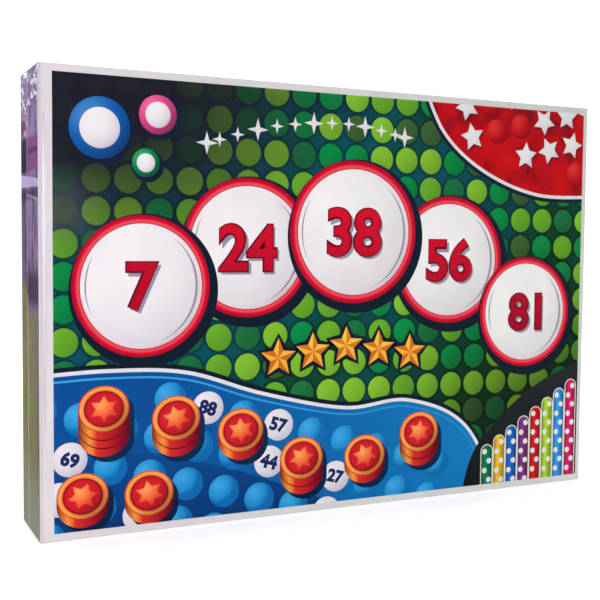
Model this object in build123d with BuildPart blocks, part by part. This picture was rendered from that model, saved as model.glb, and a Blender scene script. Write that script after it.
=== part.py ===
from build123d import *
import os

# A boxed bingo game, closed and standing on its long edge as it does on a shop shelf.
# X runs along the width, Y along the depth and Z up. The lid's printed top faces -Y.
# The origin is on the floor, under the middle of the box. All lengths are millimetres.

# The closed box, measured over its shrink film
box_width = 375.0
box_depth = 53.0
box_height = 260.0

# The sheets that the box is made of
film = 0.1
paper = 0.2
board = 1.6
tape = 0.1  # the corner stays, and the glue line between board and paper

# How the lid and the base fit
lid_fit = 0.5  # gap all round, between the base and the lid's turned-in paper
lid_seat = 0.3  # gap between the base's rim and the inside of the lid
rim_step = 1.0  # the base's floor stands this far out of the lid's rim
turn_in = 18.0  # paper turned in over the rim
stay_leg = 22.0  # each leg of a corner stay
stay_end = 3.0  # a stay stops this far short of the rim

# The numbered discs
disc_count = 90
row_count = 9
disc_thickness = 5.0
disc_fit = 0.3  # gap round a disc in its channel
disc_rim = 1.7  # width of the raised rim round the number
face_recess = 0.8  # the number's face lies this far below the rim
flat_count = 18  # grip flats round the edge

# The playing cards
card_count = 16
line_count = 3  # lines of spaces across a card, each space taking one disc
space_gap = 6.0  # a space is this much wider than its disc
card_border = 1.0  # beside the outer lines
card_end = 19.8  # deck beyond each end of the cards, with room for a finger notch
card_thickness = 1.5
card_gap = 0.05  # air between two cards
card_fit = 0.5  # gap between the cards' edges and their well

# The rules, one sheet folded once
leaf_side = 2.0  # the leaflet's sides lie this far inside those of the cards
leaf_end = 7.0  # and its ends this far inside theirs
leaf_thickness = 0.2
leaf_gap = 0.1  # between the two leaves

# The cloth bag, rolled up
roll_width = 26.0
roll_depth = 23.0
roll_end = 26.8  # deck beyond each end of the roll
roll_fit = 0.6  # gap between the roll and its well

# The formed insert
sheet = 0.8
insert_fit = 0.4  # gap between the insert and the base's turned-in paper
deck_drop = 3.0  # the deck lies this far below the base's rim
rib = 12.6  # deck beside and between the channels, the card well and the bag's well
channel_depth = 3.5
well_draft = 3.0  # degrees
skirt_draft = 2.0  # degrees
well_corner = 2.0  # cut across the corners of the bag's well
skirt_corner = 4.0  # cut across the corners of the skirt
notch_radius = 14.0  # finger notches at the ends of the card well
top_clearance = 1.4  # the top card lies this far below the deck
rest_gap = 0.2  # air under what lies in a well or a channel
overrun = 5.0  # how far a cut runs past its face

# Lid: the paper's outside, then the board inside it
lid_width = box_width - 2 * film
lid_height = box_height - 2 * film
lid_depth = box_depth - 2 * film - rim_step
wall = paper + tape + board
front_stack = film + paper + board

# Base: it slides inside the lid's turned-in paper
base_width = lid_width - 2 * (wall + paper + lid_fit)
base_height = lid_height - 2 * (wall + paper + lid_fit)
base_depth = box_depth - film - front_stack - lid_seat

# Insert: it stands on the base's floor board
insert_width = base_width - 2 * (wall + paper + insert_fit)
insert_height = base_height - 2 * (wall + paper + insert_fit)
inner_depth = base_depth - paper - board
deck_height = inner_depth - deck_drop

# Bag's well
roll_length = insert_height - 2 * roll_end
roll_well_width = roll_width + 2 * roll_fit
roll_well_length = roll_length + 2 * roll_fit
roll_well_depth = rest_gap + roll_depth + top_clearance

# The discs in a row and the lines of a card share what the bag, the ribs and the gaps leave
discs_in_row = disc_count // row_count
card_well_margin = 2 * (card_border + card_fit) + line_count * space_gap
disc_room = insert_width - 4 * rib - roll_well_width - card_well_margin - 2 * disc_fit * discs_in_row
disc_diameter = disc_room / (discs_in_row + line_count)

# Channels, with corners cut to suit the discs
disc_pitch = disc_diameter + 2 * disc_fit
channel_length = discs_in_row * disc_pitch
channel_corner = disc_diameter / 4

# Card well
card_width = line_count * (disc_diameter + space_gap) + 2 * card_border
card_length = insert_height - 2 * card_end
stack_depth = card_count * (card_thickness + card_gap)
leaflet_depth = 2 * leaf_thickness + leaf_gap
leaf_width = card_width - 2 * leaf_side
leaf_length = card_length - 2 * leaf_end
card_well_width = card_width + 2 * card_fit
card_well_length = card_length + 2 * card_fit
card_well_depth = rest_gap + leaflet_depth + stack_depth + top_clearance

# Places across the width, and the pitch of the rows
channel_x = -insert_width / 2 + rib + channel_length / 2
card_well_x = channel_x + channel_length / 2 + rib + card_well_width / 2
roll_well_x = card_well_x + card_well_width / 2 + rib + roll_well_width / 2
row_rib = (insert_height - row_count * disc_pitch) / (row_count + 1)
row_pitch = disc_pitch + row_rib

# Each plane looks at the box from outside: local X is the width, local Y the height, local Z inwards
back = Plane(origin=(0, box_depth / 2 - film, box_height / 2), x_dir=(1, 0, 0), z_dir=(0, -1, 0))
front = Plane(origin=(0, film - box_depth / 2, box_height / 2), x_dir=(1, 0, 0), z_dir=(0, 1, 0))
inside = back.offset(paper + board)

os.makedirs("parts", exist_ok=True)


def save(piece, name):
    """Label a finished piece and write it to its own file."""
    piece.part.label = name
    export_step(piece.part, f"parts/{name}.step")


def open_box(width, height, depth, wall_thickness, floor_plane):
    """A box with a floor and four walls of one thickness, open at its rim."""
    with BuildPart() as shell:
        with BuildSketch(floor_plane):
            Rectangle(width, height)
        extrude(amount=depth)
        with BuildSketch(floor_plane.offset(wall_thickness)):
            Rectangle(width - 2 * wall_thickness, height - 2 * wall_thickness)
        extrude(amount=depth - wall_thickness, mode=Mode.SUBTRACT)
    return shell


def board_box(width, height, depth, floor_plane):
    """The board that a wrap of this outer size goes round."""
    inset = 2 * (paper + tape)
    return open_box(width - inset, height - inset, depth - 2 * paper, board, floor_plane.offset(paper))


def wrap(width, height, depth, floor_plane):
    """Printed paper over a board box: its floor and walls, over the rim and a strip turned in."""
    inner_width, inner_height = width - 2 * wall, height - 2 * wall
    with BuildPart() as skin:
        with BuildSketch(floor_plane):
            Rectangle(width, height)
        extrude(amount=depth)
        # the room of the board's floor
        with BuildSketch(floor_plane.offset(paper)):
            Rectangle(width - 2 * paper, height - 2 * paper)
        extrude(amount=board, mode=Mode.SUBTRACT)
        # the room of the board's walls
        with BuildSketch(floor_plane.offset(paper)):
            Rectangle(width - 2 * paper, height - 2 * paper)
            Rectangle(inner_width, inner_height, mode=Mode.SUBTRACT)
        extrude(amount=depth - 2 * paper, mode=Mode.SUBTRACT)
        # the hollow, narrower where the paper is turned in
        with BuildSketch(floor_plane.offset(paper + board)):
            Rectangle(inner_width, inner_height)
        extrude(amount=depth - turn_in - paper - board, mode=Mode.SUBTRACT)
        with BuildSketch(floor_plane.offset(paper + board)):
            Rectangle(inner_width - 2 * paper, inner_height - 2 * paper)
        extrude(amount=depth - paper - board, mode=Mode.SUBTRACT)
    return skin


def corner_stays(width, height, depth, floor_plane):
    """Four angles of paper tape that hold the board's corners, under a wrap of this outer size."""
    outer_width, outer_height = width - 2 * paper, height - 2 * paper
    with BuildPart() as stays:
        with BuildSketch(floor_plane.offset(paper)):
            Rectangle(outer_width, outer_height)
            Rectangle(outer_width - 2 * tape, outer_height - 2 * tape, mode=Mode.SUBTRACT)
            Rectangle(outer_width - 2 * stay_leg, outer_height, mode=Mode.SUBTRACT)
            Rectangle(outer_width, outer_height - 2 * stay_leg, mode=Mode.SUBTRACT)
        extrude(amount=depth - stay_end)
    return stays


# Lid
lid_board = board_box(lid_width, lid_height, lid_depth, front)
save(lid_board, "lid_board")
lid_wrap = wrap(lid_width, lid_height, lid_depth, front)
save(lid_wrap, "lid_wrap")
lid_stays = corner_stays(lid_width, lid_height, lid_depth, front)
save(lid_stays, "lid_corner_stays")

# Base
base_board = board_box(base_width, base_height, base_depth, back)
save(base_board, "base_board")
base_wrap = wrap(base_width, base_height, base_depth, back)
save(base_wrap, "base_wrap")
base_stays = corner_stays(base_width, base_height, base_depth, back)
save(base_stays, "base_corner_stays")

# Shrink film, slit along the lid's rim so that the box can be opened
film_front = open_box(box_width, box_height, lid_depth + film, film, front.offset(-film))
save(film_front, "film_front")
with BuildPart() as film_back:
    with BuildSketch(back.offset(-film)):
        Rectangle(base_width, base_height)
    extrude(amount=film)
save(film_back, "film_back")


def card_well_outline(grow):
    """The card well with its two finger notches, on the sketch in hand."""
    with Locations((card_well_x, 0)):
        Rectangle(card_well_width + 2 * grow, card_well_length + 2 * grow)
    with Locations((card_well_x, card_well_length / 2), (card_well_x, -card_well_length / 2)):
        Circle(notch_radius + grow)


def insert_form(grow):
    """The insert's upper form, or for a positive grow the form one sheet below it."""
    with BuildPart() as form:
        with BuildSketch(inside) as skirt:
            Rectangle(insert_width - 2 * grow, insert_height - 2 * grow)
            chamfer(skirt.vertices(), skirt_corner)
        extrude(amount=deck_height - grow, taper=skirt_draft)
        # card well, cut from its floor upwards so that it opens out
        with BuildSketch(inside.offset(deck_height - card_well_depth - grow)):
            card_well_outline(grow)
        extrude(amount=card_well_depth + overrun, taper=-well_draft, mode=Mode.SUBTRACT)
        # bag's well
        with BuildSketch(inside.offset(deck_height - roll_well_depth - grow)) as roll_well:
            with Locations((roll_well_x, 0)):
                Rectangle(roll_well_width + 2 * grow, roll_well_length + 2 * grow)
            chamfer(roll_well.vertices(), well_corner)
        extrude(amount=roll_well_depth + overrun, taper=-well_draft, mode=Mode.SUBTRACT)
        # one channel with cut corners for each row of discs
        with BuildSketch(inside.offset(deck_height - channel_depth - grow)) as channels:
            with Locations((channel_x, 0)):
                with GridLocations(0, row_pitch, 1, row_count):
                    Rectangle(channel_length + 2 * grow, disc_pitch + 2 * grow)
            chamfer(channels.vertices(), channel_corner)
        extrude(amount=channel_depth + overrun, mode=Mode.SUBTRACT)
    return form


# Insert, formed from one thin sheet: the upper form less the form one sheet below it
insert_upper = insert_form(0)
insert_lower = insert_form(sheet)
with BuildPart() as insert_tray:
    add(insert_upper.part)
    add(insert_lower.part, mode=Mode.SUBTRACT)
save(insert_tray, "insert_tray")

# Rules leaflet: two leaves and the fold between them, on the floor of the card well
leaflet_plane = inside.offset(deck_height - card_well_depth + rest_gap)
with BuildPart() as rules_leaflet:
    with BuildSketch(leaflet_plane):
        with Locations((card_well_x, 0)):
            Rectangle(leaf_width, leaf_length)
    extrude(amount=leaflet_depth)
    with BuildSketch(leaflet_plane.offset(leaf_thickness)):
        with Locations((card_well_x + leaf_thickness, 0)):
            Rectangle(leaf_width, leaf_length)
    extrude(amount=leaf_gap, mode=Mode.SUBTRACT)
save(rules_leaflet, "rules_leaflet")

# Playing cards, stacked on the leaflet
for index in range(card_count):
    card_height = leaflet_depth + index * (card_thickness + card_gap) + card_gap
    with BuildPart() as card:
        with BuildSketch(leaflet_plane.offset(card_height)):
            with Locations((card_well_x, 0)):
                Rectangle(card_width, card_length)
        extrude(amount=card_thickness)
    save(card, f"card_{index + 1:02d}")

# Numbered discs, ten to a row, with the lowest numbers in the top row
disc_plane = inside.offset(deck_height - channel_depth + rest_gap)
for row in range(row_count):
    row_y = row_pitch * ((row_count - 1) / 2 - row)
    first = row * discs_in_row + 1
    with BuildPart() as disc_row:
        with BuildSketch(disc_plane):
            with Locations((channel_x, row_y)):
                with GridLocations(disc_pitch, 0, discs_in_row, 1):
                    RegularPolygon(disc_diameter / 2, flat_count)
        extrude(amount=disc_thickness)
        with BuildSketch(disc_plane.offset(disc_thickness - face_recess)):
            with Locations((channel_x, row_y)):
                with GridLocations(disc_pitch, 0, discs_in_row, 1):
                    RegularPolygon(disc_diameter / 2 - disc_rim, flat_count)
        extrude(amount=face_recess + overrun, mode=Mode.SUBTRACT)
    save(disc_row, f"discs_{first:02d}_to_{first + discs_in_row - 1:02d}")

# Cloth draw bag, rolled up along the height of the box and a little flattened
roll_centre = inside.offset(deck_height - roll_well_depth + rest_gap + roll_depth / 2)
roll_foot = roll_centre.from_local_coords(Vector(roll_well_x, -roll_length / 2, 0))
with BuildPart() as draw_bag:
    with BuildSketch(Plane(origin=roll_foot, x_dir=(1, 0, 0), z_dir=(0, 0, 1))):
        Ellipse(roll_width / 2, roll_depth / 2)
    extrude(amount=roll_length)
save(draw_bag, "draw_bag")
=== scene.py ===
import math
import random

import bmesh
import bpy
from mathutils import Matrix, Vector, geometry, noise


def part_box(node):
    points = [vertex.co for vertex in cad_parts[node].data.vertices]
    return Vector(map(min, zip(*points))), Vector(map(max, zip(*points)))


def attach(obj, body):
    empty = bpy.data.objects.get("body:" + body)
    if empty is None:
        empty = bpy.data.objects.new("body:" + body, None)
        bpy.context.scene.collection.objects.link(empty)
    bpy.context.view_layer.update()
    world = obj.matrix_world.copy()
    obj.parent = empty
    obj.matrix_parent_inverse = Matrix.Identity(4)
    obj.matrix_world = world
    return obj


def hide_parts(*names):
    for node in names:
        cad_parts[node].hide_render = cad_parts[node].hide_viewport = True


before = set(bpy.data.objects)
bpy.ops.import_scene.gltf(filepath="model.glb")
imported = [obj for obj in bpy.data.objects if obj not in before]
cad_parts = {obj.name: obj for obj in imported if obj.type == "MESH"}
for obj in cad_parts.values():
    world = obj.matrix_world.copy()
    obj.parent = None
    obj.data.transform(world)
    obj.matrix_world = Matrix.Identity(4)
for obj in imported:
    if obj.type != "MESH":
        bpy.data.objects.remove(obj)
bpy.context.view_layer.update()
scene = bpy.context.scene
mm = 0.001
midHeight = 130.0  # mm, half the height of the standing box
midWidth = 187.5  # mm, half its width
frontReach = 26.5  # mm, from its middle to the film's front, along -Y
print("frame loaded:", len(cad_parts), "nodes")


# node helpers, for materials and for Geometry Nodes

class Wire:
    # one output of a node; an expression on it becomes Math nodes
    def __init__(self, graph, socket):
        self.graph = graph
        self.socket = socket

    def __add__(self, other):
        return self.graph.maths("ADD", self, other)

    def __sub__(self, other):
        return self.graph.maths("SUBTRACT", self, other)

    def __rsub__(self, other):
        return self.graph.maths("SUBTRACT", other, self)

    def __mul__(self, other):
        return self.graph.maths("MULTIPLY", self, other)

    def __truediv__(self, other):
        return self.graph.maths("DIVIDE", self, other)

    def __lt__(self, other):
        return self.graph.maths("LESS_THAN", self, other)

    def __gt__(self, other):
        return self.graph.maths("GREATER_THAN", self, other)

    def __abs__(self):
        return self.graph.maths("ABSOLUTE", self)

    __radd__ = __add__
    __rmul__ = __mul__


class Graph:
    # a node tree under construction
    def __init__(self, tree):
        self.tree = tree

    def node(self, kind, settings=None, inputs=None, output=0):
        made = self.tree.nodes.new(kind)
        for key, value in (settings or {}).items():
            setattr(made, key, value)
        for key, value in (inputs or {}).items():
            if isinstance(value, Wire):
                self.tree.links.new(value.socket, made.inputs[key])
            else:
                made.inputs[key].default_value = value
        return Wire(self, made.outputs[output]) if len(made.outputs) else None

    def maths(self, operation, *values):
        return self.node("ShaderNodeMath", {"operation": operation}, dict(enumerate(values)))

    def vector(self, x, y, z):
        return self.node("ShaderNodeCombineXYZ", None, {0: x, 1: y, 2: z})


class Finish(Graph):
    # a material under construction
    def __init__(self, name):
        self.material = bpy.data.materials.new(name)
        self.material.use_nodes = True
        super().__init__(self.material.node_tree)
        self.tree.nodes.clear()

    def point(self):
        # the place on the piece, in millimetres of the shared frame
        place = self.node("ShaderNodeTexCoord", output="Object")
        return self.node("ShaderNodeVectorMath", {"operation": "SCALE"}, {0: place, "Scale": 1000.0})

    def coat(self, colour, roughness, others):
        inputs = {"Base Color": colour, "Roughness": roughness, **others}
        return self.node("ShaderNodeBsdfPrincipled", None, inputs)

    def close(self, shader):
        self.node("ShaderNodeOutputMaterial", None, {"Surface": shader})
        return self.material


def axes(vector):
    parts = vector.graph.node("ShaderNodeSeparateXYZ", None, {0: vector}).socket.node
    return [Wire(vector.graph, output) for output in parts.outputs]


def clamp(value):
    return value.graph.node("ShaderNodeClamp", None, {0: value})


def root(value):
    return value.graph.maths("SQRT", value)


def pingPong(value, scale):
    return value.graph.maths("PINGPONG", value, scale)


def stretch(vector, scale):
    return vector.graph.node("ShaderNodeVectorMath", {"operation": "MULTIPLY"}, {0: vector, 1: scale})


def noiseAt(vector, scale, detail=3.0, roughness=0.5):
    inputs = {"Vector": vector, "Scale": scale, "Detail": detail, "Roughness": roughness}
    return vector.graph.node("ShaderNodeTexNoise", None, inputs)


def mix(share, low, high):
    graph = next(part.graph for part in (share, low, high) if isinstance(part, Wire))
    return graph.node("ShaderNodeMix", {"data_type": "RGBA"}, {0: share, 6: low, 7: high}, 2)


def tint(colour, share, other):
    # colour multiplied by other, as far as share says
    settings = {"data_type": "RGBA", "blend_type": "MULTIPLY"}
    return colour.graph.node("ShaderNodeMix", settings, {0: share, 6: colour, 7: other}, 2)


def ramp(value, stops, interpolation="LINEAR"):
    # a stop is its place and its screen colour, or its place and a colour already made by ink
    made = value.graph.node("ShaderNodeValToRGB", None, {0: value})
    colours = made.socket.node.color_ramp
    colours.interpolation = interpolation
    while len(colours.elements) < len(stops):
        colours.elements.new(0.5)
    for stop, (place, *colour) in zip(colours.elements, stops):
        stop.position = place
        stop.color = ink(*colour) if len(colour) == 3 else colour[0]
    return made


def bump(height, distance, strength=1.0):
    inputs = {"Height": height, "Distance": distance, "Strength": strength}
    return height.graph.node("ShaderNodeBump", None, inputs)


def ink(red, green, blue):
    # a screen colour from 0 to 255 as the linear colour of a shader
    def linear(c):
        c /= 255
        return c / 12.92 if c <= 0.04045 else ((c + 0.055) / 1.055) ** 2.4
    return (linear(red), linear(green), linear(blue), 1.0)


# mesh helpers

def addPiece(name, data):
    piece = bpy.data.objects.new(name, data)
    scene.collection.objects.link(piece)
    return piece


def evaluated(piece):
    # a piece's mesh with its modifiers applied
    return bpy.data.meshes.new_from_object(piece.evaluated_get(bpy.context.evaluated_depsgraph_get()))


class Body:
    # points and faces of one piece, in millimetres, gathered before its mesh is made
    def __init__(self):
        self.points, self.faces, self.slots, self.smooth, self.motifs = [], [], [], [], []

    def add(self, points, faces, slot=0, smooth=False, matrix=Matrix.Identity(4), motif=(0.0, 0.0, 1.0)):
        # a motif's middle and size give each point a place on the motif, from -1 to 1
        start = len(self.points)
        u, v, size = motif
        self.motifs += [((p[0] - u) / size, (p[1] - v) / size, 0.0) for p in points]
        self.points += [matrix @ Vector(p) for p in points]
        self.faces += [[start + i for i in face] for face in faces]
        self.slots += [slot] * len(faces)
        self.smooth += [smooth] * len(faces)

    def loft(self, rings, slot=0, smooth=True, matrix=Matrix.Identity(4), caps=(True, True)):
        # closed rings of equally many points, joined in turn
        count = len(rings[0])
        points = [p for ring in rings for p in ring]
        around = [(i, (i + 1) % count) for i in range(count)]
        faces = [(r * count + i, r * count + j, (r + 1) * count + j, (r + 1) * count + i)
                 for r in range(len(rings) - 1) for i, j in around]
        start = len(self.points)
        self.add(points, faces, slot, smooth, matrix)
        last = start + (len(rings) - 1) * count
        for wanted, loop in ((caps[0], range(start, start + count)), (caps[1], range(last, last + count))):
            if wanted:
                self.faces.append(list(loop))
                self.slots.append(slot)
                self.smooth.append(False)

    def prism(self, loop, low, high, slot=0, matrix=Matrix.Identity(4), motif=(0.0, 0.0, 1.0)):
        # a flat shape as a block between two heights
        count = len(loop)
        points = [(u, v, low) for u, v in loop] + [(u, v, high) for u, v in loop]
        faces = [list(range(count))[::-1], list(range(count, 2 * count))]
        faces += [(i, (i + 1) % count, count + (i + 1) % count, count + i) for i in range(count)]
        self.add(points, faces, slot, False, matrix, motif)

    def take(self, mesh, slot=0):
        # the faces of a finished mesh, which is in metres
        points = [v.co / mm for v in mesh.vertices]
        self.add(points, [list(p.vertices) for p in mesh.polygons], slot, True)

    def make(self, name, finishes):
        mesh = bpy.data.meshes.new(name)
        mesh.from_pydata([p * mm for p in self.points], [], self.faces)
        for finish in finishes:
            mesh.materials.append(finish)
        mesh.polygons.foreach_set("material_index", self.slots)
        mesh.polygons.foreach_set("use_smooth", self.smooth)
        mesh.attributes.new("motif", "FLOAT_VECTOR", "POINT").data.foreach_set(
            "vector", [part for place in self.motifs for part in place])
        work = bmesh.new()
        work.from_mesh(mesh)
        bmesh.ops.recalc_face_normals(work, faces=work.faces[:])
        work.to_mesh(mesh)
        work.free()
        mesh.update()
        return addPiece(name, mesh)


def facing(side, surface, middle=(0.0, midHeight)):
    # from a drawing's (across, up, outwards) to the shared frame, on the box's front or back
    sign = 1 if side == "front" else -1
    return Matrix(((sign, 0, 0, middle[0]), (0, 0, -sign, surface), (0, 1, 0, middle[1]), (0, 0, 0, 1)))


def polar(middle, radius, angle):
    return (middle[0] + radius * math.cos(angle), middle[1] + radius * math.sin(angle))


def quarterTurns(steps):
    return [math.radians(90 * i / steps) for i in range(steps + 1)]


def circle(u, v, radius, count=48):
    return [polar((u, v), radius, math.tau * i / count) for i in range(count)]


def roundedRing(halfX, halfZ, radius, steps=5, runs=(1, 1, 1, 1)):
    # a rectangle with round corners, its straight runs divided as runs says
    corners = ((halfX - radius, halfZ - radius), (radius - halfX, halfZ - radius),
               (radius - halfX, radius - halfZ), (halfX - radius, radius - halfZ))
    arcs = []
    for k, (u, v) in enumerate(corners):
        arcs.append([polar((u, v), radius, math.radians(90 * k + 90 * i / steps)) for i in range(steps + 1)])
    ring = []
    for k, arc in enumerate(arcs):
        ring += arc
        (u0, v0), (u1, v1) = arc[-1], arcs[(k + 1) % 4][0]
        ring += [(u0 + (u1 - u0) * j / runs[k], v0 + (v1 - v0) * j / runs[k]) for j in range(1, runs[k])]
    return ring


def clipLoop(loop, low, high):
    # what of a flat shape lies between two corners of the print
    for axis, limit, sign in ((0, low[0], 1), (0, high[0], -1), (1, low[1], 1), (1, high[1], -1)):
        kept = []
        for i, here in enumerate(loop):
            before = loop[i - 1]
            insideHere, insideBefore = sign * (here[axis] - limit) >= 0, sign * (before[axis] - limit) >= 0
            if insideHere != insideBefore:
                t = (limit - before[axis]) / (here[axis] - before[axis])
                kept.append((before[0] + t * (here[0] - before[0]), before[1] + t * (here[1] - before[1])))
            if insideHere:
                kept.append(here)
        loop = kept
    return loop


def smoothLine(points, steps=10):
    # a smooth line through the points
    line = []
    for i in range(len(points) - 1):
        a, b = points[max(i - 1, 0)], points[i]
        c, d = points[i + 1], points[min(i + 2, len(points) - 1)]
        for j in range(steps):
            t = j / steps
            line.append(tuple(0.5 * (2 * b[k] + (c[k] - a[k]) * t
                                     + (2 * a[k] - 5 * b[k] + 4 * c[k] - d[k]) * t * t
                                     + (3 * b[k] - a[k] - 3 * c[k] + d[k]) * t ** 3) for k in range(2)))
    return line + [points[-1]]


def widen(line, distance):
    # an open line moved sideways, to its left for a positive distance
    moved = []
    for i, (u, v) in enumerate(line):
        before, after = line[max(i - 1, 0)], line[min(i + 1, len(line) - 1)]
        along = Vector((after[0] - before[0], after[1] - before[1])).normalized()
        moved.append((u - along.y * distance, v + along.x * distance))
    return moved


figures = {}


def figure(text, detail, weight):
    # a number as a block 1 high and 1 thick, centred, with its mesh closed
    key = (text, detail, weight)
    if key not in figures:
        curve = bpy.data.curves.new("figure", "FONT")
        curve.body, curve.resolution_u, curve.offset, curve.extrude = text, detail, weight, 0.5
        drawn = addPiece("figure", curve)
        bpy.context.view_layer.update()
        mesh = evaluated(drawn)
        work = bmesh.new()
        work.from_mesh(mesh)
        bmesh.ops.remove_doubles(work, verts=work.verts[:], dist=0.0001)
        points = [v.co.copy() for v in work.verts]
        faces = [[v.index for v in face.verts] for face in work.faces]
        work.free()
        bpy.data.objects.remove(drawn)
        bpy.data.curves.remove(curve)
        bpy.data.meshes.remove(mesh)
        low = [min(p[k] for p in points) for k in range(3)]
        high = [max(p[k] for p in points) for k in range(3)]
        tall = high[1] - low[1]
        points = [((p.x - (low[0] + high[0]) / 2) / tall, (p.y - (low[1] + high[1]) / 2) / tall,
                   (p.z - low[2]) / (high[2] - low[2])) for p in points]
        figures[key] = (points, faces)
    return figures[key]


def stamp(body, text, centre, height, low, high, slot=0, turn=0.0, matrix=Matrix.Identity(4), detail=3,
          weight=0.02):
    points, faces = figure(text, detail, weight)
    cos, sin = math.cos(turn), math.sin(turn)
    placed = [(centre[0] + height * (u * cos - v * sin), centre[1] + height * (u * sin + v * cos),
               low + (high - low) * w) for u, v, w in points]
    body.add(placed, faces, slot, False, matrix)


def nodeBox(name):
    # a CAD node's corners and half its width and height, in millimetres
    low, high = (Vector(corner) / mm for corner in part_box(name))
    return low, high, (high.x - low.x) / 2, (high.z - low.z) / 2


def onNode(low, high):
    # from a drawing about a node's middle to the shared frame, outwards from its back
    return facing("front", high.y, ((low.x + high.x) / 2, (low.z + high.z) / 2))


def dress(piece, body, slot, *nodes):
    # what every finished piece tells the frame
    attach(piece, body)
    if nodes:
        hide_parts(*nodes)


# finishes of the paper, the board and the print

dots = {"pitch": 18.0, "radius": 8.1, "phaseX": 77.8, "phaseZ": -38.3}  # mm
printArea = {"low": (-179.8, -125.4), "high": (183.9, 125.7)}
paperWhite = ink(226, 217, 219)
printGloss = 0.28
coverFace = (-25.4, 0.9)  # mm, where the cover's painted shade starts, and how far in front of that it is full


def dottedGround(finish, across, up, shadow, night=0.0, green=0.0):
    # green dots of several shades on dark teal or green, in a square grid, under a shadow and a navy darkness
    gridX = (across - dots["phaseX"]) / dots["pitch"] + 0.5
    gridZ = (up - dots["phaseZ"]) / dots["pitch"] + 0.5
    cell = finish.vector(finish.maths("FLOOR", gridX), finish.maths("FLOOR", gridZ), 0.0)
    chance = finish.node("ShaderNodeTexWhiteNoise", {"noise_dimensions": "3D"}, {"Vector": cell}, "Value")
    a = finish.maths("FRACT", gridX) - 0.5
    b = finish.maths("FRACT", gridZ) - 0.5
    reach = root(a * a + b * b) * dots["pitch"]
    dot = clamp((dots["radius"] - reach) * 2.5)
    shade = ramp(chance, [(0.0, 132, 190, 48), (0.3, 106, 172, 40), (0.54, 0, 138, 68), (0.74, 22, 112, 60),
                          (0.88, 62, 98, 50)], "CONSTANT")
    lit = clamp(0.62 + (b - a) * 0.4 + noiseAt(finish.vector(across, 0.0, up), 0.02) * 0.4)
    shade = mix(lit, tint(shade, 1.0, ink(118, 150, 130)), shade)
    drift = noiseAt(finish.vector(across, 0.0, up), 0.011, 2.0)
    ground = ramp(drift, [(0.35, 4, 52, 72), (0.5, 0, 78, 92), (0.64, 2, 66, 48)])
    ground = mix(green, ground, ink(2, 58, 26))
    rim = clamp((reach - dots["radius"]) * 0.55)
    ground = mix(rim, tint(ground, 1.0, ink(150, 156, 156)), ground)
    field = mix(dot, ground, shade)
    field = mix(shadow, field, tint(field, 1.0, ink(66, 66, 84)))
    return mix(night, field, ink(28, 27, 41))


def litho(finish, colour, gloss=0.3, shine=0.06):
    # coated printing paper: a faint tooth, a varying gloss, and on the cover's face a painted shade, dimmer
    # overall and darker to the upper right
    place = finish.point()
    tooth = noiseAt(place, 3.0, 4.0, 0.6)
    cloud = noiseAt(place, 0.05, 2.0)
    shown = tint(colour, 0.25, ramp(cloud, [(0.3, 226, 226, 230), (0.7, 255, 255, 255)]))
    x, y, z = axes(place)
    across, up = x / midWidth, z / midHeight - 1.0
    # painted shade on the cover's face: all of it dimmer, and darker to the right and towards the top
    paintedShade = 0.845 - across * 0.05 - up * 0.065 - across * up * 0.02
    paintedShades = finish.vector(paintedShade, paintedShade * (across * 0.03 + 1.03), paintedShade * (1.0 - across * 0.02))
    shown = tint(shown, clamp((coverFace[0] - y) / coverFace[1]), paintedShades)
    return finish.close(finish.coat(shown, gloss + (tooth - 0.5) * 0.12,
                                    {"Specular IOR Level": shine, "Normal": bump(tooth, 0.00002, 0.4)}))


def coverFinish():
    # the front of the lid: the dotted ground inside a white border, the border with painted shade
    finish = Finish("coverPrint")
    x, z = axes(finish.point())[::2]
    up = z - midHeight
    corner = root((x + 175.0) * (x + 175.0) * 0.5 + (up - 120.0) * (up - 120.0) * 1.6)
    foot = root((x - 180.0) * (x - 180.0) + (up + 122.0) * (up + 122.0))
    dark = clamp((118.0 - corner) / 80.0) + clamp((176.0 - foot) / 130.0) * 0.8
    night = clamp((124.0 - corner) / 84.0)
    green = clamp((230.0 - foot) / 120.0)
    field = dottedGround(finish, x, up, clamp(dark), night * 0.9, green)
    low, high = printArea["low"], printArea["high"]
    inside = (x > low[0]) * (x < high[0]) * (up > low[1]) * (up < high[1])
    # painted shade on the white border: greyer towards the right
    border = mix(clamp(x / (2 * midWidth) + 0.5), paperWhite, ink(212, 210, 208))
    # painted shade along the left edge, where the board rounds away from the light
    border = mix(clamp((-185.0 - x) / 2.4) * 0.5, border, ink(170, 156, 168))
    return litho(finish, mix(inside, border, field), 0.26)


sidePrint = {"lilac": 221.0, "bar": 229.0, "block": 213.0, "band": 196.3, "under": 191.0, "swoosh": 187.0,
             "pool": 139.0, "olive": 124.0, "fade": 48.0}  # mm, how high its parts lie


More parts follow.
